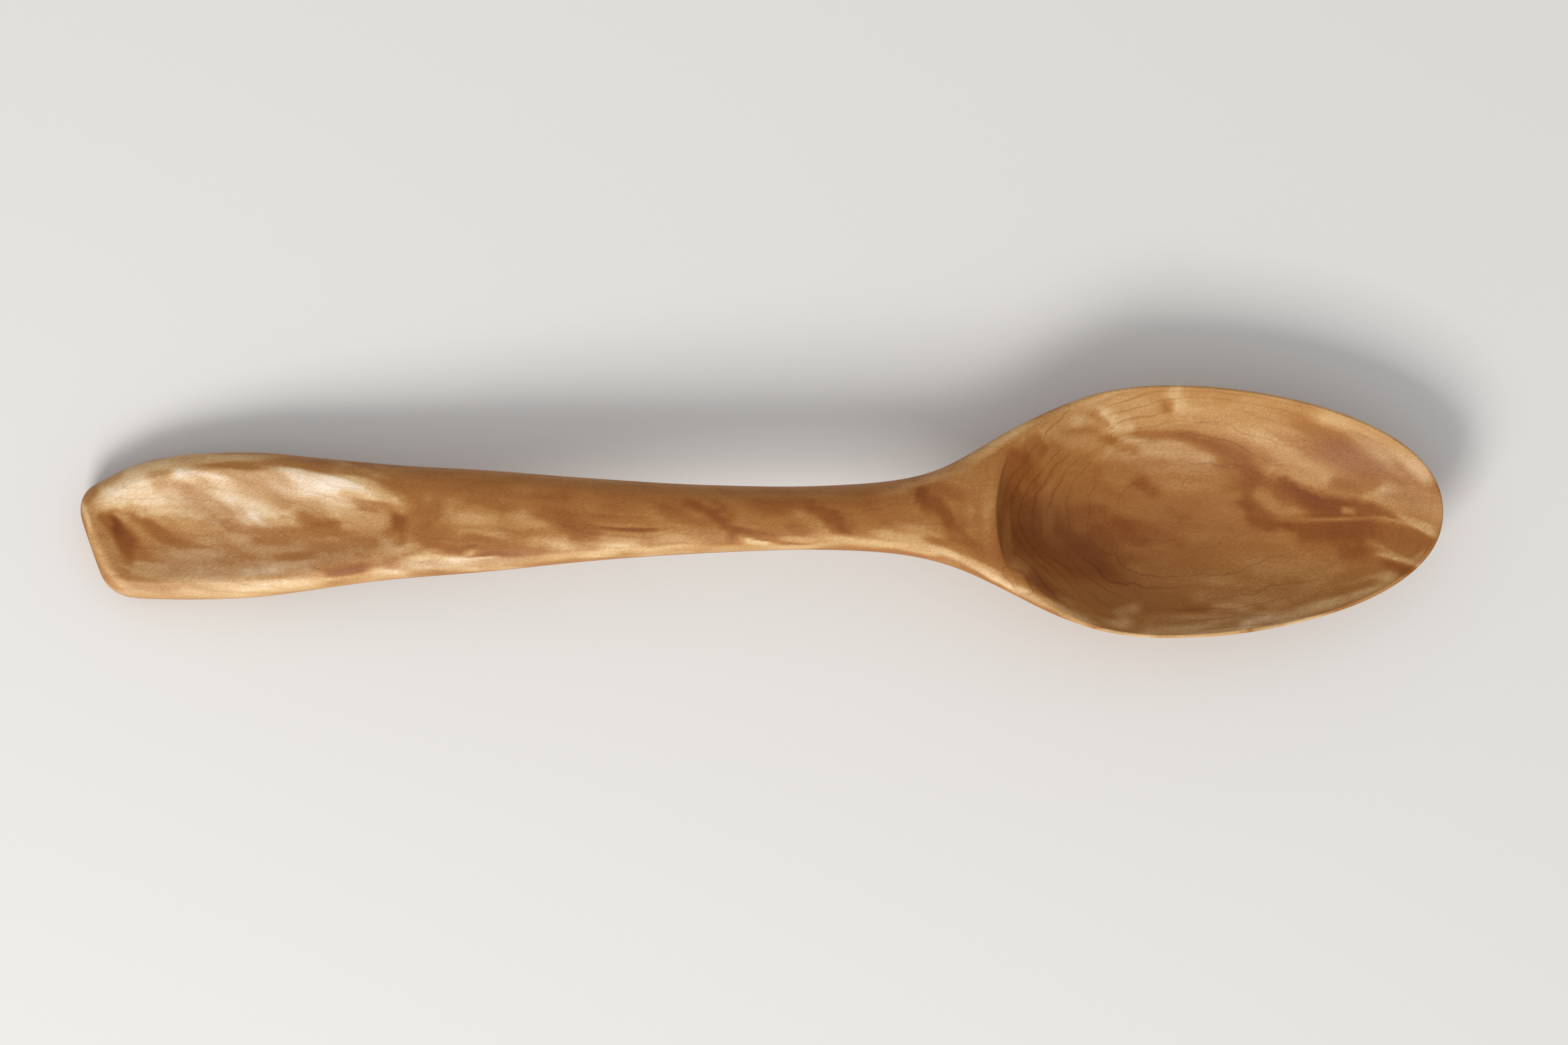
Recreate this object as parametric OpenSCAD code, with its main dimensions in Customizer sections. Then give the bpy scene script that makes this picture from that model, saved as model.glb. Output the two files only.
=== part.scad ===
// Carved wooden spoon, cut from one piece of wood, in millimetres.
// X runs from the handle end to the tip of the bowl, and Z is up. The spoon lies on its back
// on a table, so the hollow and the thumb dish face up. It is a loft: cross sections that
// change their width, height and roundness along the length, with both hollows cut in their tops.

/* [Whole spoon] */
// Length from the handle end to the tip of the bowl
overall_length = 250; // [225:1:300]
// How far the handle end stands to one side of the middle line of the bowl
handle_drift = 3; // [0:0.1:8]
// Depth of the flats on the underside, on which the spoon rests
rest_flat_depth = 0.35; // [0.2:0.05:0.8]

/* [Bowl] */
// Length from the heel of the hollow to the tip of the spoon
bowl_length = 82; // [74:1:100]
// Width of the bowl where it is widest
bowl_width = 46.3; // [38:0.1:60]
// Distance from the tip back to the widest place
widest_from_tip = 50; // [42:1:60]
// Depth of the hollow below the rim at the widest place
hollow_depth = 11.8; // [7:0.1:14]
// Wood left under the hollow
floor_thickness = 3.4; // [2.2:0.1:6]
// Width of the rim seen from above
rim_width = 0.6; // [0.5:0.1:2.5]
// Height of the rounded outer edge of the rim
rim_drop = 1; // [0.6:0.1:2.5]
// Height of the tip above the table
tip_height = 13.5; // [10:0.1:18]
// Height of the rounded outer edge at the tip
tip_drop = 0.7; // [0.4:0.1:1.5]

/* [Heel of the hollow] */
// Height of the heel above the table
heel_height = 20; // [16:0.1:26]
// How far the arc of the heel bows towards the handle
heel_bow = 4.6; // [2:0.1:7]
// Width of the shoulder of wood beside the heel
shoulder_width = 2.9; // [1.5:0.1:5]

/* [Neck] */
// Width of the neck where it is narrowest
neck_width = 11.5; // [9:0.1:18]
// Thickness of the neck
neck_thickness = 9.2; // [7:0.1:14]
// Height of the arch under the neck
neck_lift = 13.2; // [6:0.1:18]
// Distance from the narrowest place to the heel of the hollow
neck_to_heel = 36; // [30:1:50]

/* [Handle] */
// Width of the handle where it is widest
palm_width = 27; // [20:0.1:36]
// Distance from the handle end to the widest place
palm_from_end = 27; // [22:1:40]
// Thickness of the handle near its end
end_thickness = 8.6; // [7.5:0.1:13]
// Width of the slanting cut that ends the handle
end_cut_width = 18.6; // [14:0.1:24]
// Slant of the end cut from square, in degrees
end_cut_slant = 19; // [0:0.5:30]
// How far the end cut is moved off the middle line of the handle
end_cut_shift = 2.9; // [0:0.1:5]
// Distance from the handle end to the middle of the end cut
end_setback = 1.9; // [1.6:0.1:6]
// Radius of the edges round the end cut
end_edge_radius = 2.2; // [1:0.1:3]
// Radius of the corner of the end cut that reaches farthest, seen from above
far_corner_radius = 4.6; // [2.2:0.1:6]
// Radius of its other corner
near_corner_radius = 3.4; // [2.2:0.1:6]

/* [Thumb dish] */
// Length of the dish in the top of the handle
dish_length = 59; // [40:1:80]
// Depth of the dish
dish_depth = 2.2; // [0.8:0.1:3]
// Wood between the dish and the end cut
dish_from_end = 1.6; // [1:0.1:4]
// Wood between the dish and the sides of the handle
dish_border = 3.1; // [2:0.1:6]

/* [Hidden] */

wood_colour = "peru";

// Places along the length, from the handle end
heel_x = overall_length - bowl_length;
heel_corner_x = heel_x + heel_bow;
widest_x = overall_length - widest_from_tip;
neck_x = heel_x - neck_to_heel;
dish_start_x = end_setback + dish_from_end;
dish_end_x = dish_start_x + dish_length;
rim_height = floor_thickness + hollow_depth;
neck_top = neck_lift + neck_thickness;

// Plan of the bowl: how full its outline is along the length and across it
nose_power_share = 1.85;
side_power_share = 2.2;
// How full the wall of the hollow and the underside of the bowl are, from 0.5 for an ellipse to 1
hollow_fullness_share = 0.8;
belly_fullness_share = 0.68;
// Share of a half ellipse that the arc of the heel takes
heel_arc_share = 0.94;
// How steeply the floor of the hollow drops behind the heel
heel_wall_power_share = 4;
// How gently the hollow starts beside the heel, where its edge fades into the shoulders
heel_side_share = 3;
side_fade_shares = [[0, 1], [0.16, 0.82], [0.36, 0.36], [0.62, 0.04], [1, 0]];

// Outline, as pairs of place and width, each a share of the step to the next named size
end_flare_shares = [[0, 0], [0.1, 0.17], [0.21, 0.36], [0.42, 0.74], [0.7, 0.96]];
handle_taper_shares = [[0, 1], [0.07, 0.965], [0.18, 0.79], [0.31, 0.6], [0.465, 0.455], [0.62, 0.255],
    [0.81, 0.085]];
bowl_flare_shares = [[0, 0], [0.18, 0.025], [0.31, 0.085], [0.4, 0.18], [0.485, 0.345], [0.59, 0.565],
    [0.71, 0.785], [0.835, 0.94], [1, 1]];
// How the end cut's slant and shift die away towards the widest place of the handle
end_slant_shares = [[0, 1], [0.2, 0.96], [0.42, 0.55], [0.72, 0.16], [1, 0]];
end_shift_shares = [[0, 1], [0.1, 0.92], [0.21, 0.8], [0.42, 0.32], [0.72, 0.04], [1, 0]];
// How the handle comes back to the middle line of the bowl, up to the neck and on to the heel
handle_drift_shares = [[0, 1], [0.2, 0.86], [0.45, 0.63]];
neck_drift_share = 0.385;
shoulder_drift_shares = [[0.14, 0.98], [0.53, 0.84], [0.67, 0.74], [0.8, 0.45], [0.94, 0.15], [1.1, 0]];

// Side view: the top of the handle, the top from the heel to the tip, and the arch underneath
top_rise_shares = [[0, 0], [0.09, 0.06], [0.23, 0.25], [0.455, 0.57], [0.68, 0.83], [0.87, 0.965], [1, 1]];
top_fall_shares = [[0.5, 0.8], [0.78, 0.45], [1, 0]];
rim_fall_shares = [[0.25, 0.74], [0.62, 0.34], [1, 0]];
tip_fall_shares = [[0.3, 0.58], [0.64, 0.17], [1, 0]];
handle_arch_shares = [[0, 0], [0.09, 0.01], [0.23, 0.24], [0.455, 0.64], [0.68, 0.89], [0.89, 1]];
bowl_arch_shares = [[0.12, 0.93], [0.34, 0.74], [0.53, 0.5], [0.705, 0.24], [0.855, 0.075], [1, 0]];
// Height of the flank from its widest line to the top: from half the neck down to the rim's drop
flank_drop_shares = [[0, 1], [0.26, 1], [0.4, 0.75], [0.53, 0.45], [0.63, 0.22], [0.75, 0.07], [0.9, 0],
    [1, 0]];
// How square the shoulders of the section are: 2 is an ellipse, more is squarer
palm_square_share = 3;
neck_square_share = 2.3;
rim_square_share = 7;
square_rise_shares = [[0, 0], [0.26, 0.01], [0.4, 0.03], [0.53, 0.09], [0.63, 0.25], [0.75, 0.6], [0.9, 1],
    [1, 1]];
// How the round underside of the neck turns into the leaner underside of the bowl
neck_fullness_share = 0.45;
fullness_shares = [[0, 0], [0.26, 0.02], [0.5, 0.3], [0.7, 0.75], [0.88, 1], [1, 1]];
// How the shoulders beside the heel narrow to the rim
shoulder_fade_shares = [[0, 1], [0.144, 0.62], [0.25, 0.3], [0.47, 0.06], [1, 0]];
neck_band_share = 0.28;

// Thumb dish: depth along its length, how square it is, how gently its sides start, and where its
// far end starts to close
dish_floor_shares = [[0, 0], [0.03, 0.25], [0.075, 0.72], [0.14, 1], [0.34, 0.98], [0.6, 0.8],
    [0.82, 0.5], [0.94, 0.2], [1, 0]];
dish_square_share = 3;
dish_side_share = 1.45;
dish_close_share = 0.5;
dish_close_power_share = 2.3;

// Number of steps across the inner top and one shoulder, and along the length
inner_steps = 20;
band_steps = 4;
across_steps = inner_steps + 2 * band_steps;
end_steps = 4;
palm_steps = 17;
neck_steps = 20;
heel_steps = 14;
nose_steps = 19;
// The rows crowd together towards the end cut, the heel and the tip
palm_crowd_share = 1.5;
heel_crowd_share = 1.55;
nose_crowd_share = 2;
// Reach of the rows that bow with the heel, before it and behind it, and narrowest inner top at the tip
bow_before_share = 0.5;
bow_after_share = 0.8;
tip_inner_share = 0.55;

quarter = 90;

function mix(a, b, share) = a + (b - a) * share;
function smooth(share) = let (s = max(0, min(1, share))) s * s * (3 - 2 * s);
function steps(from, to, shares, low, high) = [for (s = shares) [mix(from, to, s[0]), mix(low, high, s[1])]];

// Smooth curve through a table of places and values, level at its far end
function span(x, table, i = 0) = i >= len(table) - 2 || x < table[i + 1][0] ? i : span(x, table, i + 1);
function slope(table, i) = i == len(table) - 1 ? 0 :
    let (a = table[max(0, i - 1)], b = table[i + 1]) (b[1] - a[1]) / (b[0] - a[0]);
function hermite(p, q, m, n, t) = let (r = 1 - t)
    p * (1 + 2 * t) * r * r + m * t * r * r + q * (1 + 2 * r) * t * t - n * r * t * t;
function along(x, table) =
    x <= table[0][0] ? table[0][1] :
    x >= table[len(table) - 1][0] ? table[len(table) - 1][1] :
    let (i = span(x, table), step = table[i + 1][0] - table[i][0])
    hermite(table[i][1], table[i + 1][1], slope(table, i) * step, slope(table, i + 1) * step,
        (x - table[i][0]) / step);

half_table = concat(
    steps(end_setback, palm_from_end, end_flare_shares, end_cut_width / 2, palm_width / 2),
    steps(palm_from_end, neck_x, handle_taper_shares, neck_width / 2, palm_width / 2),
    steps(neck_x, widest_x, bowl_flare_shares, neck_width / 2, bowl_width / 2));
slant_table = steps(end_setback, palm_from_end, end_slant_shares, 0, tan(end_cut_slant));
shift_table = steps(end_setback, palm_from_end, end_shift_shares, 0, end_cut_shift);
drift_table = concat(
    steps(0, neck_x, handle_drift_shares, 0, handle_drift),
    steps(neck_x, heel_x, shoulder_drift_shares, 0, handle_drift * neck_drift_share));
top_table = concat(
    steps(0, neck_x, top_rise_shares, end_thickness, neck_top),
    steps(neck_x, heel_x, top_fall_shares, heel_height, neck_top),
    steps(heel_x, widest_x, rim_fall_shares, rim_height, heel_height),
    steps(widest_x, overall_length, tip_fall_shares, tip_height, rim_height));
arch_table = concat(
    steps(0, neck_x, handle_arch_shares, -rest_flat_depth, neck_lift),
    steps(neck_x, widest_x, bowl_arch_shares, -rest_flat_depth, neck_lift));
drop_table = concat([[0, end_thickness / 2]],
    steps(neck_x, widest_x, flank_drop_shares, rim_drop, neck_thickness / 2),
    [[overall_length, tip_drop]]);
square_table = concat([[palm_from_end, palm_square_share]],
    steps(neck_x, widest_x, square_rise_shares, neck_square_share, rim_square_share));
fullness_table = steps(neck_x, widest_x, fullness_shares, neck_fullness_share, belly_fullness_share);
band_table = concat([[palm_from_end, dish_border], [neck_x, neck_band_share * neck_width / 2]],
    steps(heel_x, widest_x, shoulder_fade_shares, rim_width, shoulder_width));
side_table = steps(heel_x, widest_x, side_fade_shares, hollow_fullness_share, heel_side_share);
dish_table = steps(dish_start_x, dish_end_x, dish_floor_shares, 0, dish_depth);

// Share of the way from the widest place to the tip
function nose(x, reach) = max(0, x - widest_x) / reach;
function half_width(x) = x <= widest_x ? along(x, half_table) :
    bowl_width / 2 * (max(0, 1 - nose(x, widest_from_tip)^nose_power_share))^(1 / side_power_share);
function middle(x) = -along(x, drift_table) - along(x, shift_table);

// Share of the way from the middle of the section to its outline, measured in plan
function out_share(x, y) = x <= widest_x ? abs(y - middle(x)) / half_width(x) :
    (nose(x, widest_from_tip)^nose_power_share + abs(2 * y / bowl_width)^side_power_share)^(1 / side_power_share);

// The arc of the heel, as a share of its bow at a share of the hollow's half width
function arc_back(share) = let (full = 1 - sqrt(1 - heel_arc_share^2))
    (1 - sqrt(max(0, 1 - (heel_arc_share * share)^2))) / full;

// Half width of the hollow: the outline less the rim, and behind the arc of the heel
function inner_half(x) = half_width(x) - along(x, band_table);
function hollow_half(x) =
    x <= widest_x ? inner_half(max(x, heel_corner_x)) :
    (bowl_width / 2 - rim_width)
        * (max(0, 1 - nose(x, widest_from_tip - rim_width)^nose_power_share))^(1 / side_power_share);
function hollow_floor(x, start) =
    x <= start ? 0 :
    x <= widest_x
        ? (1 - (1 - (x - start) / (widest_x - start))^heel_wall_power_share)^hollow_fullness_share :
    (max(0, 1 - nose(x, widest_from_tip - rim_width)^nose_power_share))^hollow_fullness_share;
function hollow(x, y) = let (reach = hollow_half(x))
    reach <= 0 ? 0 :
    let (share = min(1, abs(y - middle(x)) / reach))
    hollow_depth * hollow_floor(x, heel_x + heel_bow * arc_back(share))
        * (1 - share^side_power_share)^along(x, side_table);

// The thumb dish closes to a round end towards the neck
function dish_half(x) = let (closing = mix(dish_start_x, dish_end_x, dish_close_share))
    inner_half(x) * (max(0, 1 - (max(0, x - closing) / (dish_end_x - closing))^dish_close_power_share))^(1 / 2);
function dish(x, y) = let (reach = dish_half(x))
    x <= dish_start_x || x >= dish_end_x || reach <= 0 ? 0 :
    along(x, dish_table) * max(0, 1 - (abs(y - middle(x)) / reach)^dish_square_share)^dish_side_share;

// Heights of the widest line, the top and the underside, less the rounding of an edge
function edge_height(x) = along(x, top_table) - along(x, drop_table);
function top_height(x, y, inset) = let (square = along(x, square_table))
    edge_height(x) + (along(x, drop_table) - inset)
        * (max(0, 1 - out_share(x, y)^square))^(1 / square) - hollow(x, y) - dish(x, y);
function under_height(x, y, inset) = edge_height(x)
    - (edge_height(x) - along(x, arch_table) - inset)
        * (max(0, 1 - out_share(x, y)^side_power_share))^along(x, fullness_table);

// Across a row: 1 at the outline on one side, through the middle, to -1 on the other side.
// Each entry is the side, the share of the inner top and the share of the shoulder beside it.
top_columns = concat(
    [for (i = [band_steps:-1:1]) [1, 1, sin(quarter * i / band_steps)]],
    [for (i = [0:inner_steps]) let (a = cos(2 * quarter * i / inner_steps)) [sign(a), abs(a), 0]],
    [for (i = [1:band_steps]) [-1, 1, sin(quarter * i / band_steps)]]);
under_columns = [for (i = [across_steps - 1:-1:1]) cos(2 * quarter * i / across_steps)];

// Radius of the edge round the end cut, blunter towards its corners
function corner_radius(s) = s > 0 ? far_corner_radius : near_corner_radius;
function end_radius(s) = mix(end_edge_radius, corner_radius(s), abs(s)^3);
rows_start = end_setback + end_radius(0);

// Rows along the length, as pairs of place and turn: the turn runs from 0 on the end cut to 90
rows = concat(
    [for (i = [0:end_steps - 1]) [rows_start, quarter * i / end_steps]],
    [for (i = [0:palm_steps - 1]) [mix(rows_start, dish_end_x, (i / palm_steps)^palm_crowd_share), quarter]],
    [for (i = [0:neck_steps - 1])
        [mix(dish_end_x, heel_x, 1 - (1 - i / neck_steps)^heel_crowd_share), quarter]],
    [for (i = [0:heel_steps - 1]) [mix(heel_x, widest_x, (i / heel_steps)^heel_crowd_share), quarter]],
    [for (i = [0:nose_steps - 1])
        [mix(overall_length, widest_x, (1 - i / nose_steps)^nose_crowd_share), quarter]]);

// Rows near the heel bow with its arc, and rows near the end cut follow its rounding
function row_bow(row) = heel_bow * (row[0] <= heel_x
    ? smooth((row[0] - mix(heel_x, neck_x, bow_before_share)) / (bow_before_share * neck_to_heel))
    : 1 - smooth((row[0] - heel_x) / (bow_after_share * (widest_x - heel_x))));
function row_place(row, s) = row[1] < quarter
    ? end_setback + end_radius(s) * (1 - cos(row[1]))
    : row[0] + (end_radius(s) - end_radius(0))
        * (1 - smooth((row[0] - rows_start) / (palm_from_end - rows_start)));
function row_half(row, x) = half_width(row_bow(row) > 0 ? row[0] + row_bow(row) : x);
function rounding(row, radius) = radius * (1 - sin(row[1]));

// Plan of a point at share s across a row, where the rows near the end cut are slanted
function plan_point(row, x, s) = let (out = s * (row_half(row, x) - rounding(row, corner_radius(s))))
    [x - along(x, slant_table) * out, middle(x) + out];
function top_point(row, column) =
    let (outer = row_half(row, row[0]),
        corner_x = row[0] + row_bow(row),
        inner = max(corner_x > widest_x ? hollow_half(corner_x) : inner_half(corner_x), tip_inner_share * outer),
        s = column[0] * mix(column[1] * inner, outer, column[2]) / outer,
        x = row_place(row, s) + row_bow(row) * arc_back(column[1]))
    [each plan_point(row, x, s),
        top_height(x, middle(x) + s * row_half(row, x), rounding(row, end_edge_radius))];
function under_point(row, s) =
    let (x = row_place(row, s) + row_bow(row) * s * s)
    [each plan_point(row, x, s),
        under_height(x, middle(x) + s * row_half(row, x), rounding(row, end_edge_radius))];
function ring(row) = concat(
    [for (column = top_columns) top_point(row, column)],
    [for (s = under_columns) under_point(row, s)]);

// Closed skin over the rings, with a strip over the first ring and a fan to the tip
module skin(rings, tip) {
    size = len(rings[0]);
    last = len(rings) - 1;
    points = concat([for (r = rings) each r], [tip]);
    sides = [for (i = [0:last - 1], j = [0:size - 1])
        let (k = (j + 1) % size, a = i * size, b = a + size)
        each [[a + j, b + j, b + k], [a + j, b + k, a + k]]];
    first = [for (j = [0:size / 2 - 1])
        each (j == 0 ? [[0, 1, size - 1]] :
            j == size / 2 - 1 ? [[j, j + 1, j + 2]] :
            [[j, j + 1, size - j - 1], [j, size - j - 1, size - j]])];
    nose_fan = [for (j = [0:size - 1]) [last * size + j, (last + 1) * size, last * size + (j + 1) % size]];
    polyhedron(points, concat(sides, first, nose_fan));
}

module carved_blank() {
    skin([for (row = rows) ring(row)],
        [overall_length, middle(overall_length), edge_height(overall_length)]);
}

// One piece: handle, neck and bowl, with the flats that it rests on
module spoon() {
    color(wood_colour)
    translate([-overall_length / 2, 0, 0])
    difference() {
        carved_blank();
        translate([-overall_length / 2, -bowl_width, -bowl_width])
            cube([2 * overall_length, 2 * bowl_width, bowl_width]);
    }
}

spoon();
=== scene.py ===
import math

import bmesh
import bpy
import numpy as np
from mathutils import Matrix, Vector, noise


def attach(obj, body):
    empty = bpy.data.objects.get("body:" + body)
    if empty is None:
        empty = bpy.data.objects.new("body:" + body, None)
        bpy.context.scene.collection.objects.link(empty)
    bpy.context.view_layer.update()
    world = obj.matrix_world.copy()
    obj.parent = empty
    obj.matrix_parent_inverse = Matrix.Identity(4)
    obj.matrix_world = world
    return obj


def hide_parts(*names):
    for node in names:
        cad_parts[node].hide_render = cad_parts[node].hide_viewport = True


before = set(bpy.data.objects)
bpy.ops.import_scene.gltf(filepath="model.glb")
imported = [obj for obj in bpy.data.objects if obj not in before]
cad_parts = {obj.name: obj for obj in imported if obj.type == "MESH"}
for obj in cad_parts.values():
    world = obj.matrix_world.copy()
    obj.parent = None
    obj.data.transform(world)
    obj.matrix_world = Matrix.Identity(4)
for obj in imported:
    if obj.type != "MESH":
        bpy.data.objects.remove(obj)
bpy.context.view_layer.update()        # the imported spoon, in metres: X towards the tip of the bowl, Z up
mm = 0.001
print("frame loaded")


# Where new nodes stand in the editor
nodeLayout = {"across": 190, "down": 40, "rows": 7}


def addNode(tree, kind, values=None, **options):
    made = tree.nodes.new(kind)
    count = len(tree.nodes)
    made.location = (nodeLayout["across"] * count, -nodeLayout["down"] * (count % nodeLayout["rows"]))
    for name, value in options.items():
        setattr(made, name, value)
    for name, value in (values or {}).items():
        if isinstance(value, bpy.types.NodeSocket):
            tree.links.new(value, made.inputs[name])
        else:
            made.inputs[name].default_value = value
    return made


def maths(tree, operation, first, second=0.0, third=0.0):
    return addNode(tree, "ShaderNodeMath", {0: first, 1: second, 2: third}, operation=operation).outputs[0]


def vectorMaths(tree, operation, first, second=(0, 0, 0)):
    made = addNode(tree, "ShaderNodeVectorMath", {0: first, 1: second}, operation=operation)
    return made.outputs["Value" if operation in ("LENGTH", "DOT_PRODUCT") else "Vector"]


def remap(tree, value, lowFrom, highFrom, lowTo=0.0, highTo=1.0, curve="SMOOTHSTEP"):
    return addNode(tree, "ShaderNodeMapRange", {"Value": value, "From Min": lowFrom, "From Max": highFrom,
                   "To Min": lowTo, "To Max": highTo}, interpolation_type=curve).outputs["Result"]


def scaledNoise(tree, vector, size, detail=2.0, roughness=0.5, distortion=0.0):
    # size is the length of one blotch along x, y and z, in the same unit as the vector
    across = vectorMaths(tree, "DIVIDE", vector, size)
    return addNode(tree, "ShaderNodeTexNoise", {"Vector": across, "Scale": 1.0, "Detail": detail,
                   "Roughness": roughness, "Distortion": distortion}).outputs["Fac"]


def blend(tree, share, first, second, mode="MIX"):
    # The Mix node's colours are its inputs 6 and 7 and its output 2
    colours = {0: share, 6: first, 7: second}
    return addNode(tree, "ShaderNodeMix", colours, data_type="RGBA", blend_type=mode).outputs[2]


# Spoon: the frame's shape merged to quads and rounded, with the slight waviness of handwork
spoonForm = {
    "mergeDistance": 0.01 * mm,
    "flatHeight": 0.02 * mm,      # faces below this are the flats it rests on
    "heelFrom": 40 * mm,          # between these places edges sharper than heelAngle stay crisp
    "heelTo": 50 * mm,
    "heelAngle": 28,              # degrees
    "heelCrease": 0.5,
    "waveHeight": 0.11 * mm,
    "waveLength": 13 * mm,
    "waveStart": 1.0 * mm,        # no waviness below this height
    "levels": 2,                  # of subdivision
}


def makeSpoon(form):
    shape = bmesh.new()
    shape.from_mesh(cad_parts["spoon"].data)
    bmesh.ops.remove_doubles(shape, verts=shape.verts, dist=form["mergeDistance"])
    # Each flat becomes one face, and the other triangles join to quads
    flats = {f for f in shape.faces if max(v.co.z for v in f.verts) < form["flatHeight"]}
    inner = [e for e in shape.edges if all(f in flats for f in e.link_faces)]
    bmesh.ops.dissolve_edges(shape, edges=inner, use_verts=True, use_face_split=False)
    triangles = [f for f in shape.faces if len(f.verts) == 3]
    bmesh.ops.join_triangles(shape, faces=triangles, angle_face_threshold=math.pi,
                             angle_shape_threshold=math.pi, topology_influence=1.0)
    shape.normal_update()
    crease = shape.edges.layers.float.new("crease_edge")
    for edge in shape.edges:
        middle = (edge.verts[0].co.x + edge.verts[1].co.x) / 2
        atHeel = form["heelFrom"] < middle < form["heelTo"]
        if atHeel and edge.calc_face_angle(0) > math.radians(form["heelAngle"]):
            edge[crease] = form["heelCrease"]
    for vert in shape.verts:
        if vert.co.z > form["waveStart"]:
            vert.co += vert.normal * form["waveHeight"] * noise.noise(vert.co / form["waveLength"])
    mesh = bpy.data.meshes.new("woodenSpoon")
    shape.to_mesh(mesh)
    shape.free()
    mesh.polygons.foreach_set("use_smooth", [True] * len(mesh.polygons))
    spoon = bpy.data.objects.new("woodenSpoon", mesh)
    bpy.context.scene.collection.objects.link(spoon)
    rounding = spoon.modifiers.new("rounding", "SUBSURF")
    rounding.levels = rounding.render_levels = form["levels"]
    rounded = spoon.evaluated_get(bpy.context.evaluated_depsgraph_get())
    spoon.data = bpy.data.meshes.new_from_object(rounded)
    spoon.modifiers.clear()
    spoon.data.name = "woodenSpoon"
    return spoon


# Camera, in millimetres: straight above, with the handle on the left
photoCamera = {
    "lens": 135,
    "sensorWidth": 36,
    "across": 286.5,              # what the picture takes in at planeHeight
    "planeHeight": 12.8,
    "centre": (4.51, -1.985),
    "pictureSize": (2352, 1568),
}


def cameraHeight(camera):
    return camera["planeHeight"] + camera["across"] * camera["lens"] / camera["sensorWidth"]


def onPicture(place, height, camera):
    # The pixels at which these places show, with the wood taken to be at this height
    pictureWidth, pictureHeight = camera["pictureSize"]
    pixelsPerMm = pictureWidth * camera["lens"] / camera["sensorWidth"] / (cameraHeight(camera) - height)
    across = pictureWidth / 2 + (place[:, 0] - camera["centre"][0]) * pixelsPerMm
    down = pictureHeight / 2 - (place[:, 1] - camera["centre"][1]) * pixelsPerMm
    return across, down


def makeCamera(camera):
    data = bpy.data.cameras.new("photoCamera")
    data.lens = camera["lens"]
    data.sensor_width = camera["sensorWidth"]
    made = bpy.data.objects.new("photoCamera", data)
    made.location = (camera["centre"][0] * mm, camera["centre"][1] * mm, cameraHeight(camera) * mm)
    bpy.context.scene.collection.objects.link(made)
    bpy.context.scene.camera = made


# Figured wood, in millimetres. The figure is a tone from -1, red brown, to 1, cream, which also carries
# painted shade and painted highlights, and tones gives the colours between the two, the first at 0.0 and the
# last at 1.0.
woodLook = {
    "tones": [(0.0, (0.173, 0.041, 0.003)), (0.25, (0.273, 0.081, 0.010)), (0.5, (0.384, 0.155, 0.034)),
              (0.68, (0.532, 0.284, 0.102)), (0.85, (0.725, 0.480, 0.235)), (1.0, (0.900, 0.725, 0.510))],
    # the tint of the painted sheen, a painted reflection of the light
    "paintedSheenTint": (1.0, 1.10, 1.48, 1),
    "wander": [((8, 5, 5), 0.5), ((3.2, 1.3, 1.3), 0.15)],   # over what length streaks wander, and how far
    "wanderSeed": 1,              # Blender would take the clock as the seed of this noise
    "streakEnds": (0.5, 1.3),     # where a streak fades out, in its half lengths
    "softSide": (0.25, 1.4),      # and in its half widths, at a soft side
    "sharpSide": (0.8, 1.15),     # at a sharp side, and at the side across from that
    "acrossSide": (-1.7, 0.5),
    "topSide": (-0.15, 0.3),      # how far a surface faces up where the upper side's wood takes over
    "curlSize": (15, 7, 7),       # the faint curl on the upper side, and the stronger one below
    "curlTone": 0.16,
    "underCurlSize": (22, 6.5, 6.5),
    "underCurlTone": 0.5,
    "curlDetail": 3.0,
    "curlDistortion": 0.7,
    "curlRange": (0.3, 0.7),
    "ringSpacing": 1.8,
    "ringLean": 0.5,              # in the handle, ending between these places along the spoon
    "ringLeanEnd": (20, 50),
    "ringWander": [((30, 18, 18), 1.0, 4.5), ((7, 4.5, 4.5), 2.0, 2.4)],   # length, detail and how far
    "ringWidth": 0.5,
    "ringLeastCut": 0.15,         # where the surface lies nearly along a layer, its ring may be wider
    "ringTint": (0.62, 0.48, 0.36, 1),
    "ringPatchSize": (14, 8, 8),
    "ringPatchRange": (0.35, 0.65),
    "ringShare": (0.08, 0.6),     # from patch to patch
    "ringHandleShare": 0.45,      # of that in the handle, which ends between these places
    "ringHandleEnd": (30, 50),
    "ringTipShare": 0.4,          # and at the tip, which starts between these
    "ringTipStart": (80, 105),
    "fibreTurn": 30,              # degrees from the length of the spoon
    "fibreSize": (0.9, 0.22, 0.22),
    "fibreNoiseRoughness": 0.65,
    "fibreRange": (0.25, 0.75),
    "fibreTone": 0.16,
    "poreSize": (1.6, 0.16, 0.16),
    "poreRange": (0.58, 0.80),
    "poreColour": (0.20, 0.075, 0.022, 1),
    "poreShare": 0.07,
    "endColour": (0.23, 0.088, 0.028, 1),
    "endPower": 4.0,              # the higher, the fewer surfaces count as end grain
    "endShare": 0.35,
    "figureRange": (-0.8, 0.8),   # the tones between which the roughness changes
    "roughness": (0.52, 0.40),
    "poreRoughness": 0.12,
    "fibreHeight": 0.02,
    "poreHeight": -0.03,
    "figureHeight": 0.06,
    "specular": 0.27,
    "coat": 0.06,
    "coatRoughness": 0.32,
}
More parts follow.
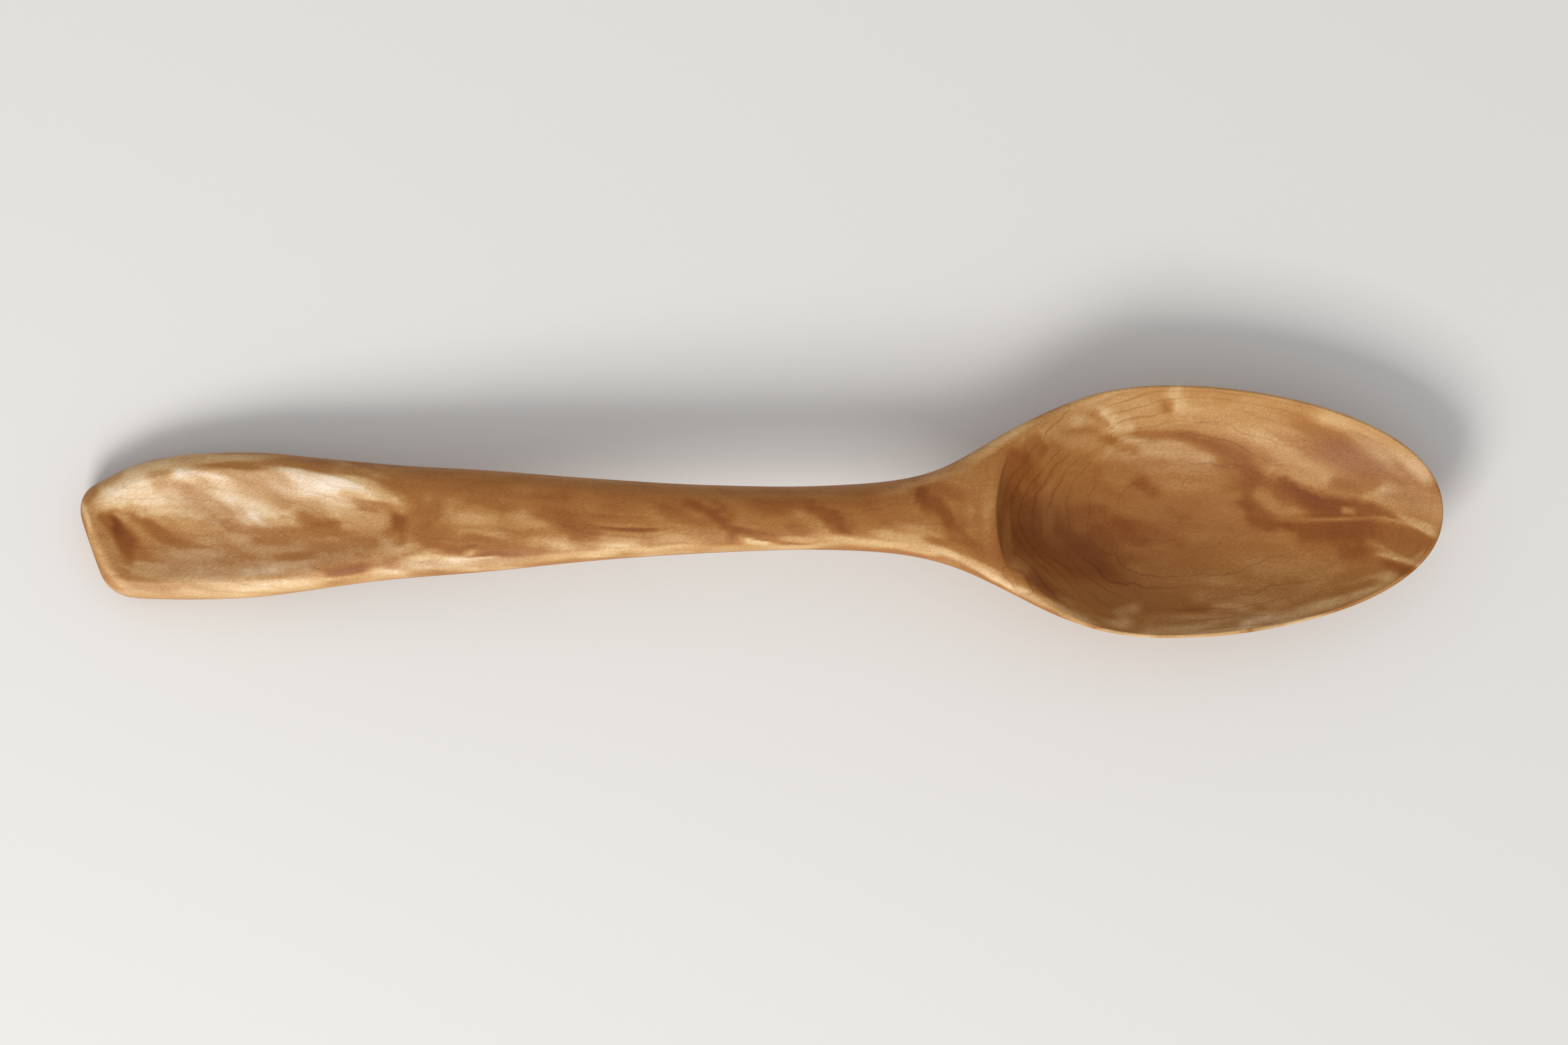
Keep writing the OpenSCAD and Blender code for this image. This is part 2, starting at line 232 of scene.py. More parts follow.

# Streaks on the upper side, each laid over those before it, at the pixels of the picture where they show,
# grouped by the height of the wood there: centre, half length, half width, turn in degrees and tone.
# Some also have a bend, and 1 or -1 for the side that is sharp. Besides the wood's figure they hold painted
# shade, dark in the steep walls of the thumb dish and the bowl, at the heel and along the upper flanks, and
# painted highlights, pale along the lower edges, lower flanks and rim and on the bowl's upper wall, which
# face the lamp.
figureAndPaintedLightStreaks = [
    # Thumb dish, in these two groups: painted shade in its steep end wall and along the upper flank, painted
    # highlight along the lower edge
    (7, [    # thumb dish, washes first
        (370, 738, 240, 46, -4, 0.42), (400, 828, 190, 36, 2, 0.16), (385, 878, 250, 20, 2, 0.48, 6, 0),
        (150, 800, 60, 22, -68, 0.15),
    ]),
    (7, [    # thumb dish
        (198, 730, 54, 17, 18, 0.8), (205, 752, 62, 15, 4, 0.66), (246, 724, 18, 13, 30, 0.3),
        (262, 745, 18, 12, 0, 0.45), (208, 706, 24, 9, 25, 0.75), (300, 717, 54, 14, -14, 1),
        (330, 738, 52, 13, -22, 0.52), (366, 756, 56, 16, -30, 0.9), (405, 772, 46, 15, -14, 0.78),
        (428, 786, 36, 9, -10, 0.28), (425, 738, 100, 17, -30, 0.12), (470, 764, 50, 15, -38, 0.22),
        (452, 768, 14, 10, -40, 0.45), (367, 776, 22, 8, -55, 0.5), (492, 733, 98, 20, -12, 1, 5, 1),
        (588, 746, 34, 9, -34, 0.55, 3, 1), (416, 716, 34, 10, -28, 0.5), (476, 720, 40, 9, -12, 0.95),
        (366, 713, 30, 8, -16, 0.4), (545, 722, 40, 8, -24, 0.7), (520, 771, 40, 9, 0, 0.5),
        (484, 773, 16, 8, 0, 0.1), (534, 745, 26, 8, -10, 0.6), (470, 782, 30, 12, -34, -0.22),
        (490, 789, 28, 10, 4, -0.36), (452, 797, 40, 7, -4, -0.15), (505, 797, 34, 6, -6, -0.1),
        (488, 819, 24, 10, 0, -0.08), (552, 782, 38, 12, 0, 0.42), (556, 763, 20, 7, -6, 0.05),
        (432, 776, 14, 8, 0, 0.3), (300, 750, 44, 13, -32, 0.2), (327, 764, 26, 9, -40, 0.4),
        (315, 783, 20, 8, -10, 0.72), (342, 787, 13, 8, -60, -0.1), (228, 789, 34, 11, -36, -0.5),
        (252, 806, 34, 9, -30, -0.35), (246, 822, 24, 6, 0, 0.05), (302, 825, 40, 9, -20, -0.25),
        (284, 798, 36, 9, -22, 0.02), (322, 800, 44, 12, -14, 0.28), (180, 797, 30, 14, -60, -1),
        (196, 822, 27, 15, -60, -0.6), (216, 840, 26, 12, -40, -0.1), (160, 782, 14, 8, -40, -0.3),
        (183, 773, 14, 7, -36, 0.3), (206, 767, 18, 7, -40, 0.4), (236, 780, 22, 7, -24, 0.2),
        (132, 782, 36, 5, -78, 0.55), (150, 828, 36, 8, -64, 0.35), (126, 800, 80, 5, -71, -0.05),
        (136, 742, 16, 9, 50, -0.05), (262, 771, 50, 8, -2, 0.55), (300, 785, 44, 9, -4, 0.3),
        (345, 808, 50, 8, 4, 0.3), (420, 800, 60, 8, -4, -0.05), (412, 812, 36, 8, 0, -0.15),
        (372, 836, 26, 7, -16, 0.05), (450, 834, 38, 7, 4, -0.22), (415, 848, 60, 6, 0, 0.3),
        (335, 856, 60, 9, -2, 0.28), (506, 836, 28, 8, 0, 0.2), (300, 832, 60, 10, 0, 0.22),
        (540, 820, 40, 10, 0, -0.02), (460, 860, 80, 8, 4, 0.3), (396, 858, 34, 8, 4, 0.5),
        (524, 856, 42, 9, 8, -0.5), (466, 861, 30, 6, 2, 0.3), (210, 858, 40, 9, -8, 0.4),
        (225, 848, 30, 7, -6, 0.35), (184, 856, 14, 8, -30, 0.1), (215, 875, 34, 7, -6, 0.1),
        (250, 880, 80, 9, 0, 0.28), (180, 872, 30, 8, -40, 0.45), (215, 889, 36, 7, -8, 0.55),
        (450, 876, 90, 8, 6, 0.8), (300, 892, 110, 7, 0, 0.5), (545, 868, 60, 7, 8, 0.3),
        (584, 859, 32, 9, 5, 0.65), (562, 756, 36, 6, -8, 0.1), (592, 768, 18, 8, -42, 0.05),
        (626, 784, 40, 8, -76, -0.02, 3, 0), (603, 789, 25, 14, 80, -0.62), (607, 765, 11, 9, -30, 0.25),
        (596, 808, 14, 9, 50, -0.12), (650, 784, 54, 12, 80, -0.32, 4, 0), (598, 724, 42, 9, -28, -0.3),
        (631, 757, 30, 8, -62, -0.28), (612, 822, 26, 7, 10, 0.3), (552, 812, 34, 9, 0, -0.12),
        (582, 812, 16, 12, 0, 0.25), (560, 812, 16, 9, 0, -0.15), (600, 844, 24, 9, 0, -0.1),
        (574, 830, 13, 8, 0, 0.15), (545, 836, 18, 7, 0, -0.05), (650, 829, 16, 6, 0, 0.4),
        (658, 838, 56, 8, 4, 0.65), (636, 848, 34, 7, 6, 0.35), (662, 849, 34, 7, 0, 0.48),
        (260, 692, 70, 9, 12, 0.58), (240, 711, 20, 8, 10, 0.3), (345, 698, 56, 6, -6, -0.05),
        (610, 694, 110, 8, -3, -0.22), (552, 708, 46, 6, -16, 0.35), (604, 711, 42, 8, -18, 0.1),
        (330, 686, 90, 6, 0, 0.55), (296, 691, 50, 8, 4, 0.55), (520, 706, 40, 8, -8, 0),
        (480, 702, 90, 6, -4, 0.1),
    ]),
    # Handle: painted highlight along the lower edge, painted shade along the upper flank, among the wood's
    # figure
    (12, [    # handle
        (770, 735, 200, 18, -4, -0.28), (720, 731, 26, 13, 0, -0.38), (712, 777, 46, 10, -6, 0.25),
        (740, 754, 44, 9, -10, -0.32), (804, 730, 38, 12, -4, -0.02), (690, 824, 46, 13, -18, -0.48, 0, 1),
        (745, 829, 40, 7, -8, -0.35), (650, 802, 40, 12, -20, -0.12), (800, 779, 32, 16, 0, 0.4),
        (724, 798, 40, 8, -4, 0.28), (684, 812, 13, 8, -20, 0.05), (736, 811, 36, 8, -14, -0.22),
        (826, 811, 40, 9, 0, 0.32), (712, 845, 44, 10, 2, 0.8, 0, 1), (712, 828, 14, 6, 20, 0.45),
        (735, 852, 60, 7, 2, 0.6), (800, 838, 110, 7, 5, 0.45), (838, 772, 40, 15, -10, -0.3),
        (868, 790, 36, 15, -25, -0.45), (870, 802, 15, 11, 50, -0.4), (890, 819, 12, 7, 0, 0.25),
        (850, 817, 18, 9, 0, 0.4), (892, 752, 34, 18, -20, 0.02), (948, 794, 44, 3, -2, -0.8),
        (900, 790, 26, 3, -10, -0.5), (928, 779, 56, 8, -4, -0.3), (935, 764, 34, 9, -10, -0.25),
        (932, 814, 36, 9, -4, 0.28, 0, 1), (930, 822, 28, 8, 0, 0.7), (905, 832, 30, 7, 4, 0.65),
        (1000, 822, 60, 6, 2, 0.55), (1000, 746, 50, 12, -10, -0.18), (1008, 765, 30, 9, -20, -0.35),
        (1034, 752, 15, 6, -20, 0.05), (1030, 777, 44, 9, -14, -0.35), (1020, 808, 40, 11, -4, 0.32),
        (1052, 806, 24, 8, -8, 0.05), (1056, 764, 36, 8, -30, -0.55, 3, 0),
        (1087, 784, 34, 8, -50, -0.65, 4, 0), (1084, 760, 28, 6, -42, -0.45, 3, 0),
        (1120, 764, 28, 9, -40, 0.25), (1136, 782, 22, 8, -46, -0.05), (1140, 800, 52, 6, -12, -0.65),
        (1137, 816, 26, 8, -12, 0.8, 0, 1), (1162, 806, 34, 5, -12, -0.15), (1250, 760, 150, 20, -1, -0.32),
        (1162, 759, 44, 12, -12, -0.45), (1203, 775, 18, 8, -20, 0.08), (1228, 768, 32, 9, -42, -0.55),
        (1252, 782, 22, 11, -40, -0.65, 4, 1), (1230, 793, 14, 8, -36, 0.2), (1264, 798, 15, 12, -44, -0.7),
        (1274, 785, 11, 9, -50, -0.3), (1196, 793, 20, 9, -24, -0.22), (1196, 808, 30, 6, -4, 0.38),
        (1258, 804, 16, 7, -14, -0.3), (1160, 822, 110, 5, 2, 0.55), (1315, 778, 50, 12, -4, -0.12),
        (1345, 803, 40, 7, -8, 0.5), (1330, 815, 110, 9, -4, 0.6), (1378, 826, 34, 5, -12, 0.6),
        (1040, 826, 110, 6, 3, 0.4), (1180, 742, 120, 7, -2, -0.15),
    ]),
    # Neck: painted highlight along the lower flank, among the wood's figure
    (19, [    # neck
        (1350, 765, 40, 20, -4, -0.1), (1386, 744, 28, 13, -60, -0.85), (1413, 766, 30, 12, -60, -0.75),
        (1431, 793, 26, 11, -56, -0.65), (1455, 818, 36, 9, -26, -0.4), (1490, 832, 30, 7, -24, -0.1),
        (1424, 737, 28, 9, -22, -0.35), (1360, 804, 40, 9, -10, 0.5), (1393, 804, 20, 9, -14, 0.5),
        (1362, 792, 30, 9, -6, 0.25), (1344, 734, 30, 8, 6, 0.1), (1434, 805, 12, 8, -30, -0.25),
        (1488, 790, 14, 46, 0, 0.45), (1438, 776, 12, 20, 0, -0.25), (1434, 836, 60, 7, -22, 0.58),
        (1422, 817, 40, 7, -22, -0.1), (1485, 855, 46, 10, -26, 0.65), (1530, 882, 44, 6, -32, 0.35),
        (1600, 924, 60, 4, -30, 0.7), (1484, 842, 34, 8, -28, -0.05), (1500, 870, 46, 6, -26, 0.75),
        (1492, 667, 70, 9, 33, 0.45), (1420, 709, 56, 8, 20, 0.12), (1374, 726, 40, 6, 14, 0.2),
    ]),
    # Bowl washes: painted shade on the heel wall and the lower left of the hollow, painted highlight on the
    # upper wall and the lower rim
    (8, [    # bowl, washes first
        (1780, 606, 215, 34, -2, 0.4), (1600, 826, 130, 48, -12, -0.62), (1528, 760, 34, 85, 0, -0.5),
        (1560, 790, 60, 50, 0, -0.6), (1760, 905, 180, 34, 2, -0.15), (1770, 780, 150, 60, 0, -0.12),
        (1640, 800, 46, 52, 0, -0.5), (1568, 884, 44, 12, -38, -0.75), (1652, 927, 50, 12, -10, 0.6),
        (1735, 930, 36, 10, 0, 0.1), (1738, 947, 34, 6, 0, 0.45), (1870, 934, 110, 14, 8, 0.75),
        (1800, 926, 50, 8, 0, 0.3), (1790, 944, 80, 8, 0, 0.55), (1830, 895, 60, 12, 0, 0.18),
        (1842, 934, 34, 10, 4, 0.6), (1845, 912, 32, 7, 0, 0.38), (1690, 915, 24, 9, 10, 0.38),
        (1752, 900, 34, 11, 0, -0.12), (1970, 912, 90, 9, 17, 0.35), (1620, 915, 50, 9, -26, 0.1),
        (1862, 878, 60, 13, -12, 0.14), (1905, 902, 36, 12, -24, 0.1), (2062, 872, 34, 12, 20, 0.52),
        (1650, 740, 60, 50, 0, -0.12), (1522, 854, 16, 20, -30, -0.15), (1574, 849, 24, 8, -20, -0.35),
    ]),
    # Bowl: painted shade near the heel and in the lower side of the hollow, painted highlight along the
    # lower rim, among the wood's figure
    (9, [    # bowl
        (1560, 655, 60, 12, 24, 0.1), (1640, 630, 46, 12, 6, 0.5), (1680, 640, 30, 8, -40, 0.7, 0, -1),
        (1664, 618, 26, 11, -48, 0.75, 0, -1), (1700, 652, 24, 8, -30, 0.5), (1650, 630, 20, 6, -25, 0.2),
        (1648, 604, 28, 9, 14, 0.5), (1692, 604, 30, 9, 0, 0.5), (1676, 650, 30, 8, -8, 0.48),
        (1691, 634, 14, 10, -60, 0.6), (1572, 612, 26, 7, 25, 0), (1712, 668, 34, 10, -20, 0.5),
        (1660, 688, 36, 13, -10, 0.2), (1605, 664, 50, 16, 0, 0.3), (1644, 673, 44, 8, -8, 0.28),
        (1688, 684, 18, 9, 0, 0), (1680, 670, 30, 7, -35, -0.15), (1765, 600, 22, 14, -56, 0.72),
        (1750, 617, 16, 11, -75, -0.1), (1780, 634, 18, 8, 0, 0.65), (1730, 627, 34, 8, 0, 0.38),
        (1765, 640, 74, 8, -6, 0.28), (1745, 655, 56, 6, -2, -0.15, 0, 1),
        (1806, 665, 50, 8, -8, -0.38, 0, 1), (1844, 718, 28, 22, -70, -0.46), (1848, 680, 34, 14, -26, -0.5),
        (1874, 704, 34, 14, -58, -0.5), (1742, 684, 74, 14, -4, 0.62), (1738, 667, 52, 7, -3, 0.5),
        (1694, 674, 20, 9, -10, 0.1), (1792, 685, 36, 12, -8, 0.5), (1770, 705, 80, 20, -6, 0.18),
        (1800, 725, 50, 16, 0, 0.1), (1868, 648, 34, 10, -24, 0.35), (1900, 662, 60, 11, -26, 0.42, 0, 1),
        (1962, 700, 54, 18, -30, 0.36), (1938, 692, 46, 8, -36, 0.3), (1970, 722, 40, 16, -30, 0.26),
        (1870, 630, 110, 18, -8, 0.38), (2012, 740, 34, 9, -10, 0.08), (1882, 730, 26, 16, -75, -0.6),
        (1940, 733, 56, 11, -20, -0.5, 0, 1), (1916, 712, 18, 11, -45, 0.25),
        (1966, 745, 60, 13, -24, -0.8, 0, 1), (2000, 758, 56, 14, -8, -0.82), (2022, 726, 24, 11, -10, -0.2),
        (2060, 764, 36, 10, -14, -0.5), (1900, 747, 22, 12, -24, 0.15), (1926, 744, 15, 8, -36, -0.35),
        (1970, 735, 30, 5, -24, -0.15), (1928, 763, 26, 9, -14, 0.15), (1878, 768, 28, 16, -45, -0.6),
        (1925, 786, 44, 8, -2, -0.5), (1840, 745, 26, 8, 0, 0), (1850, 764, 24, 10, -20, 0.05),
        (2000, 657, 90, 12, -24, 0), (2030, 690, 85, 18, -34, -0.32), (2065, 708, 44, 10, -30, -0.38),
        (2105, 735, 40, 13, -14, 0.08), (2020, 638, 66, 13, -24, 0.65), (2055, 670, 40, 9, -34, 0.3),
        (2080, 664, 70, 14, -36, 0.5), (2120, 698, 40, 12, -46, 0.5), (2062, 740, 22, 8, 25, 0.4),
        (2080, 752, 22, 8, -20, 0.4), (1976, 772, 34, 6, -4, -0.6), (1946, 768, 20, 7, -10, 0.05),
        (2005, 773, 40, 6, 0, -0.7), (2026, 767, 13, 6, -10, 0.3), (1975, 789, 56, 7, 0, -0.75),
        (1928, 764, 22, 7, -14, 0.15), (2046, 765, 12, 5, 0, -0.4), (2078, 774, 22, 8, -24, -0.4),
        (2118, 762, 50, 13, -12, 0.15), (2126, 784, 34, 5, -26, 0.42, 0, -1),
        (2062, 808, 110, 24, -6, -0.42, 0, 1), (1998, 794, 60, 22, 0, -0.68), (1922, 808, 28, 13, -12, 0.12),
        (2142, 797, 12, 7, -30, 0.35), (2118, 845, 26, 7, 44, 0.2), (1897, 772, 20, 11, -30, -0.45),
        (1901, 789, 20, 8, -20, -0.6), (2030, 826, 26, 14, 0, -0.4), (2078, 826, 34, 6, -30, 0.1),
        (2092, 838, 30, 4, -14, 0.55, 0, -1), (2115, 845, 20, 3, -16, 0.5, 0, -1),
        (2100, 852, 34, 7, -16, -0.4), (1985, 780, 60, 3, 2, 0.1), (2055, 778, 46, 3, -2, 0.12),
        (2096, 781, 34, 3, -8, 0.22), (2124, 791, 18, 4, -28, 0.35), (1724, 730, 24, 12, -40, -0.45),
        (1770, 772, 22, 9, -30, -0.3), (1676, 718, 24, 14, -30, 0.15), (1644, 766, 24, 13, 0, -0.5),
        (1640, 836, 36, 13, -38, -0.75), (1768, 822, 30, 12, -30, -0.1), (1706, 802, 34, 15, -20, -0.5),
        (1732, 822, 36, 9, 0, -0.1), (1762, 811, 24, 9, -20, -0.38), (1700, 808, 22, 9, -10, -0.52),
        (1690, 783, 26, 11, -20, -0.5), (1612, 768, 15, 12, 0, -0.45), (1622, 792, 12, 10, 0, -0.15),
        (1574, 784, 9, 30, 0, -0.25), (1586, 814, 13, 13, 0, -0.3), (1725, 797, 24, 10, -20, -0.35),
        (1740, 850, 50, 10, 0, -0.05), (1546, 668, 18, 12, 40, -0.35), (1580, 672, 22, 11, -50, 0),
        (1562, 677, 13, 9, 60, -0.4), (1608, 684, 30, 11, 0, 0.1), (1541, 733, 11, 14, 0, -0.2),
        (1508, 795, 8, 36, 0, -0.1), (1526, 690, 18, 26, 0, -0.6), (1592, 728, 20, 22, 0, -0.2),
        (1548, 665, 12, 12, 0, -0.35), (1900, 850, 40, 12, -10, 0.05), (1840, 806, 60, 10, 0, 0.05),
        (1900, 925, 90, 6, 8, 0.12), (2020, 884, 50, 7, 16, -0.15), (1640, 916, 40, 5, -16, -0.05),
        (1592, 914, 44, 6, -28, 0.4), (1886, 932, 28, 9, 8, 0.82), (1870, 945, 9, 4, 20, -0.2),
        (1940, 922, 70, 7, 14, 0.45), (1690, 950, 60, 4, -6, 0.6), (1800, 956, 70, 4, 0, 0.6),
        (1930, 938, 80, 4, 14, 0.6),
    ]),
]

# Painted sheen: places where a painted reflection of the light makes the wood paler and cooler, in the same
# terms, with the share as the tone
paintedSheenStreaks = [
    (9, [
        (340, 735, 230, 44, -2, 0.4), (400, 718, 56, 20, -22, 0.7), (180, 738, 50, 22, 12, 0.1),
        (300, 720, 60, 16, -14, 0.4), (350, 780, 100, 24, -24, 0.7), (390, 834, 200, 36, 2, 1),
        (470, 836, 80, 20, 0, 1.05), (590, 816, 34, 20, 0, 0.6), (400, 852, 120, 12, 2, 1.1),
        (177, 800, 40, 24, -62, -0.2), (604, 788, 26, 22, 80, -0.1), (482, 788, 40, 12, 0, 0),
        (522, 857, 50, 11, 8, -0.2), (620, 716, 90, 10, -6, 0.2), (760, 740, 90, 12, -4, 0.25),
        (235, 890, 120, 8, 0, 0.3), (1760, 695, 90, 24, -6, 0.6), (1800, 780, 110, 50, 0, 0.5),
        (2080, 700, 80, 30, -32, 0.6), (2110, 735, 44, 24, -12, 0.7), (1850, 930, 110, 14, 3, 0.35),
        (660, 848, 90, 10, 4, 0.6), (735, 842, 70, 10, 4, 0.5), (1735, 660, 60, 9, -4, 0.6),
    ]),
]


def fade(value, low, high):
    share = np.clip((value - low) / (high - low), 0, 1)
    return share * share * (3 - 2 * share)


def paintTone(mesh, name, groups, look, camera):
    # Keeps the streaks as an attribute of the mesh, so that they follow its surface
    place = np.array([vert.co / mm for vert in mesh.vertices])
    noise.seed_set(look["wanderSeed"])
    for size, reach in look["wander"]:
        place += [noise.noise_vector(Vector(spot)) * reach for spot in place / size]
    tone = np.zeros(len(place))
    for height, streaks in groups:
        across, down = onPicture(place, height, camera)
        for x, y, length, width, turn, level, *edge in streaks:
            bend, sharp = edge or (0, 0)
            cosine, sine = math.cos(math.radians(turn)), math.sin(math.radians(turn))
            right, up = across - x, y - down
            forward = (right * cosine + up * sine) / length
            aside = (up * cosine - right * sine + bend * forward * forward) / width
            ends = 1 - fade(np.abs(forward), *look["streakEnds"])
            if sharp:
                sides = 1 - fade(aside * sharp, *look["sharpSide"])
                sides = fade(aside * sharp, *look["acrossSide"]) * sides
            else:
                sides = 1 - fade(np.abs(aside), *look["softSide"])
            tone += (level - tone) * ends * sides
    mesh.attributes.new(name, "FLOAT", "POINT").data.foreach_set("value", tone)


def curlTones(tree, place, look, size, tone):
    curl = scaledNoise(tree, place, size, look["curlDetail"], distortion=look["curlDistortion"])
    return remap(tree, curl, *look["curlRange"], -tone, tone, "LINEAR")


def makeWood(look):
    material = bpy.data.materials.new("figuredWood")
    material.use_nodes = True
    tree = material.node_tree
    shader = tree.nodes["Principled BSDF"]
    place = addNode(tree, "ShaderNodeTexCoord").outputs["Object"]
    place = vectorMaths(tree, "MULTIPLY", place, (1 / mm, 1 / mm, 1 / mm))
    facing = addNode(tree, "ShaderNodeNewGeometry").outputs["Normal"]
    facingParts = addNode(tree, "ShaderNodeSeparateXYZ", {"Vector": facing}).outputs
    placeParts = addNode(tree, "ShaderNodeSeparateXYZ", {"Vector": place}).outputs
    topSide = remap(tree, facingParts["Z"], *look["topSide"])

    # Fibres cross the spoon at a slant, and pores run along it
    turned = {"Vector": place, "Angle": -math.radians(look["fibreTurn"])}
    slanted = addNode(tree, "ShaderNodeVectorRotate", turned, rotation_type="Z_AXIS").outputs["Vector"]
    fibre = scaledNoise(tree, slanted, look["fibreSize"], roughness=look["fibreNoiseRoughness"])
    fibre = remap(tree, fibre, *look["fibreRange"], -1.0, 1.0, "LINEAR")
    pore = remap(tree, scaledNoise(tree, place, look["poreSize"], detail=1.0), *look["poreRange"])

    # Faint curl and the streaks on the upper side, which hold painted shade and highlights with the figure,
    # and a stronger curl below
    curl = curlTones(tree, place, look, look["curlSize"], look["curlTone"])
    underCurl = curlTones(tree, place, look, look["underCurlSize"], look["underCurlTone"])
    streaks = addNode(tree, "ShaderNodeAttribute", attribute_name="figureAndPaintedLight").outputs["Fac"]
    upper = maths(tree, "MULTIPLY", maths(tree, "ADD", streaks, curl), topSide)
    figureAndPaintedLight = maths(tree, "MULTIPLY_ADD", underCurl, maths(tree, "SUBTRACT", 1.0, topSide), upper)
    tone = maths(tree, "MULTIPLY_ADD", fibre, look["fibreTone"], figureAndPaintedLight)

    ramp = addNode(tree, "ShaderNodeValToRGB", {"Fac": remap(tree, tone, -1.0, 1.0, 0.0, 1.0, "LINEAR")})
    stops = ramp.color_ramp.elements
    while len(stops) < len(look["tones"]):
        stops.new(0.5)
    for stop, (position, colour) in zip(stops, look["tones"]):
        stop.position = position
        stop.color = (*colour, 1)
    colour = ramp.outputs["Color"]
    # Painted sheen: the pale attribute tints the upper side paler and cooler where a reflection of the light
    # is painted
    pale = addNode(tree, "ShaderNodeAttribute", attribute_name="pale").outputs["Fac"]
    colour = blend(tree, maths(tree, "MULTIPLY", pale, topSide), colour, look["paintedSheenTint"], "MULTIPLY")

    # Growth rings: level layers in the bowl, leaning ones in the handle
    lean = remap(tree, placeParts["X"], *look["ringLeanEnd"], look["ringLean"], 0.0)
    layerWay = addNode(tree, "ShaderNodeCombineXYZ", {"Y": lean, "Z": 1.0}).outputs[0]
    layer = vectorMaths(tree, "DOT_PRODUCT", place, layerWay)
    for size, detail, reach in look["ringWander"]:
        layer = maths(tree, "MULTIPLY_ADD", scaledNoise(tree, place, size, detail), reach, layer)
    part = maths(tree, "FRACT", maths(tree, "DIVIDE", layer, look["ringSpacing"]))
    away = maths(tree, "ABSOLUTE", maths(tree, "SUBTRACT", part, 0.5))
    away = maths(tree, "MULTIPLY", away, look["ringSpacing"])
    cut = vectorMaths(tree, "CROSS_PRODUCT", facing, vectorMaths(tree, "NORMALIZE", layerWay))
    cut = maths(tree, "MAXIMUM", vectorMaths(tree, "LENGTH", cut), look["ringLeastCut"])
    line = remap(tree, maths(tree, "DIVIDE", away, cut), look["ringWidth"], 0.0)
    patch = scaledNoise(tree, place, look["ringPatchSize"], detail=1.0)
    lineShare = remap(tree, patch, *look["ringPatchRange"], *look["ringShare"])
    inHandle = remap(tree, placeParts["X"], *look["ringHandleEnd"], look["ringHandleShare"], 1.0)
    lineShare = maths(tree, "MULTIPLY", lineShare, inHandle)
    atTip = remap(tree, placeParts["X"], *look["ringTipStart"], 1.0, look["ringTipShare"])
    lineShare = maths(tree, "MULTIPLY", lineShare, atTip)
    colour = blend(tree, maths(tree, "MULTIPLY", line, lineShare), colour, look["ringTint"], "MULTIPLY")
    colour = blend(tree, maths(tree, "MULTIPLY", pore, look["poreShare"]), colour, look["poreColour"])

    # End grain is darker
    endGrain = maths(tree, "POWER", maths(tree, "ABSOLUTE", facingParts["X"]), look["endPower"])
    colour = blend(tree, maths(tree, "MULTIPLY", endGrain, look["endShare"]), colour, look["endColour"])

    # Pale figure is smoother, painted highlight included. Figure with its painted shade and highlight, and
    # fibres, stand out a little, and pores are sunk.
    rough = remap(tree, figureAndPaintedLight, *look["figureRange"], *look["roughness"], "LINEAR")
    rough = maths(tree, "MULTIPLY_ADD", pore, look["poreRoughness"], rough)
    height = maths(tree, "MULTIPLY", fibre, look["fibreHeight"])
    height = maths(tree, "MULTIPLY_ADD", pore, look["poreHeight"], height)
    height = maths(tree, "MULTIPLY_ADD", figureAndPaintedLight, look["figureHeight"], height)
    bump = addNode(tree, "ShaderNodeBump", {"Height": height, "Strength": 1.0, "Distance": mm})
    tree.links.new(colour, shader.inputs["Base Color"])
    tree.links.new(rough, shader.inputs["Roughness"])
    tree.links.new(bump.outputs["Normal"], shader.inputs["Normal"])
    shader.inputs["Specular IOR Level"].default_value = look["specular"]
    shader.inputs["Coat Weight"].default_value = look["coat"]
    shader.inputs["Coat Roughness"].default_value = look["coatRoughness"]
    return material


spoon = makeSpoon(spoonForm)
print("spoon made:", len(spoon.data.vertices), "vertices")
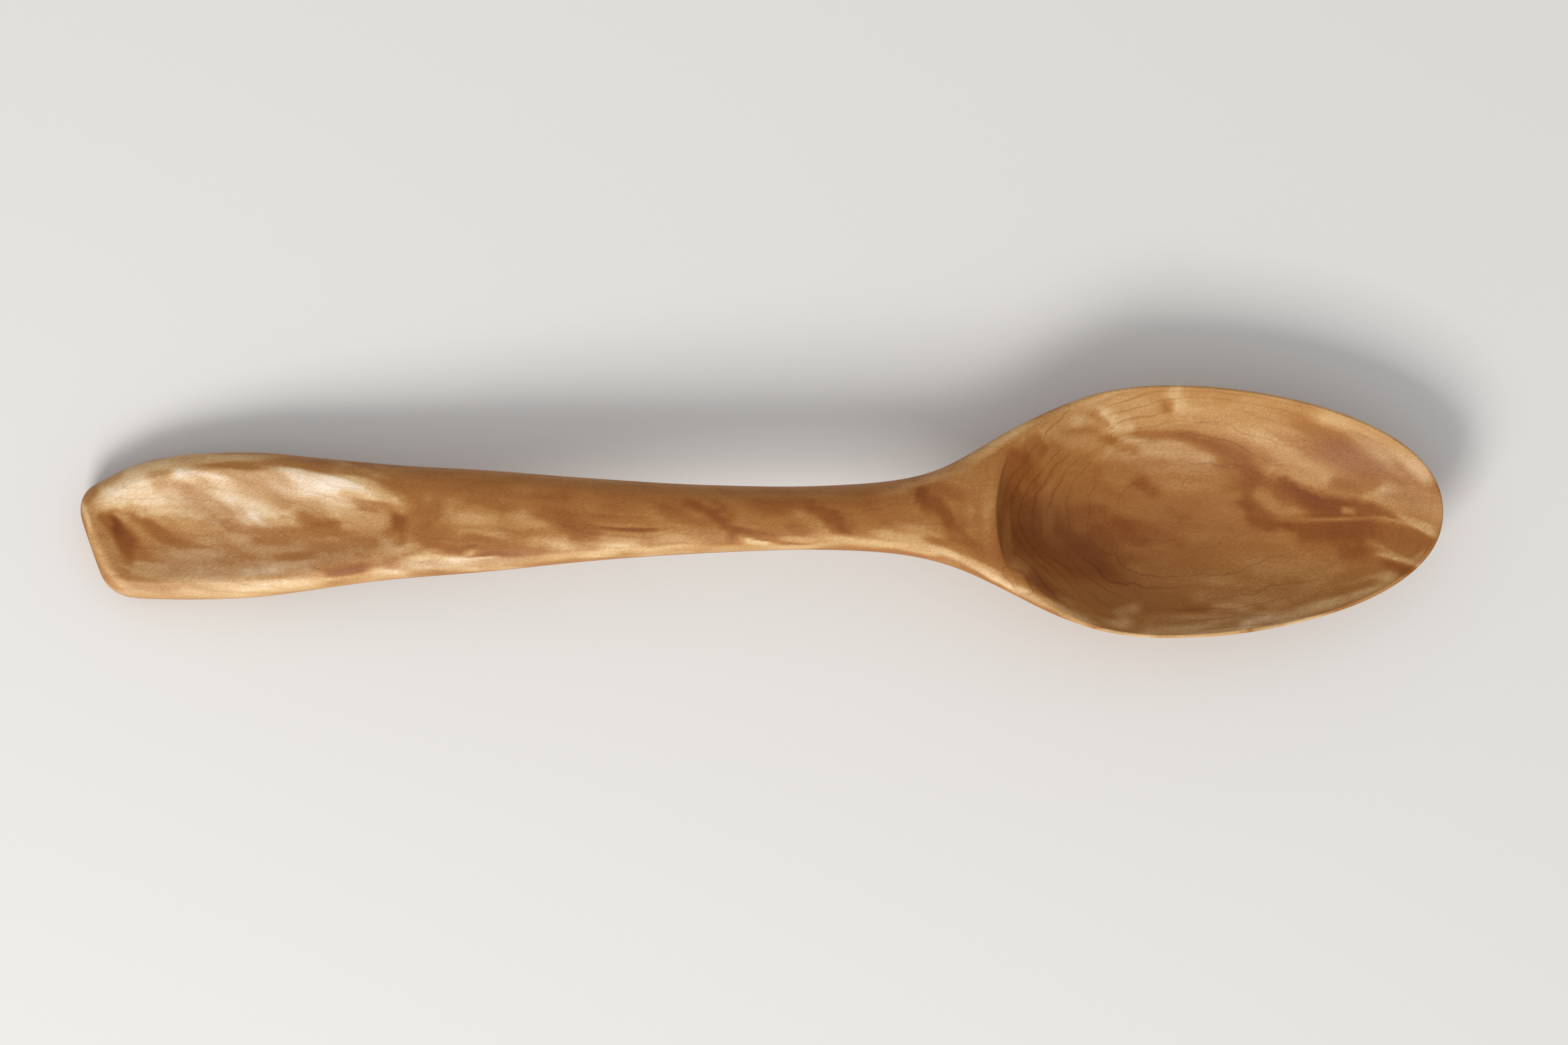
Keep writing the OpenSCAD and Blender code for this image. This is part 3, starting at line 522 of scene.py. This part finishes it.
# Painted shade and highlights go into the figure attribute with the wood's figure, and a painted sheen into
# the pale attribute
paintTone(spoon.data, "figureAndPaintedLight", figureAndPaintedLightStreaks, woodLook, photoCamera)
paintTone(spoon.data, "pale", paintedSheenStreaks, woodLook, photoCamera)
spoon.data.materials.append(makeWood(woodLook))
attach(spoon, "root")
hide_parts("spoon")
print("wood painted")


# Studio: plain pale floor, one large soft lamp from the picture's lower left, and an even sky
studio = {
    "floorSize": 3.0,
    "floorGap": 0.05 * mm,        # under the spoon
    "floorColour": (0.80, 0.79, 0.775, 1),
    "floorRoughness": 0.9,
    "skyColour": (0.97, 0.985, 1.0, 1),
    "skyStrength": 0.55,
    "lampFrom": (-0.42, -0.86, 0.80),
    "lampDistance": 1.3,
    "lampSize": 0.55,
    "lampPower": 12.0,
    "lampColour": (1.0, 0.965, 0.91),
}


def makeStudio(look):
    plane = bmesh.new()
    bmesh.ops.create_grid(plane, x_segments=1, y_segments=1, size=look["floorSize"] / 2)
    mesh = bpy.data.meshes.new("studioFloor")
    plane.to_mesh(mesh)
    plane.free()
    floor = bpy.data.objects.new("studioFloor", mesh)
    floor.location.z = -look["floorGap"]
    bpy.context.scene.collection.objects.link(floor)
    paint = bpy.data.materials.new("floorPaint")
    paint.use_nodes = True
    paintInputs = paint.node_tree.nodes["Principled BSDF"].inputs
    paintInputs["Base Color"].default_value = look["floorColour"]
    paintInputs["Roughness"].default_value = look["floorRoughness"]
    mesh.materials.append(paint)
    sky = bpy.data.worlds.new("studioSky")
    sky.use_nodes = True
    skyInputs = sky.node_tree.nodes["Background"].inputs
    skyInputs["Color"].default_value = look["skyColour"]
    skyInputs["Strength"].default_value = look["skyStrength"]
    bpy.context.scene.world = sky
    lamp = bpy.data.lights.new("softLamp", "AREA")
    lamp.size = look["lampSize"]
    lamp.energy = look["lampPower"]
    lamp.color = look["lampColour"]
    lampObject = bpy.data.objects.new("softLamp", lamp)
    lampObject.location = Vector(look["lampFrom"]).normalized() * look["lampDistance"]
    lampObject.rotation_euler = (-lampObject.location).to_track_quat("-Z", "Y").to_euler()
    bpy.context.scene.collection.objects.link(lampObject)


makeStudio(studio)
makeCamera(photoCamera)
bpy.context.scene.view_settings.view_transform = "Standard"
print("studio ready")
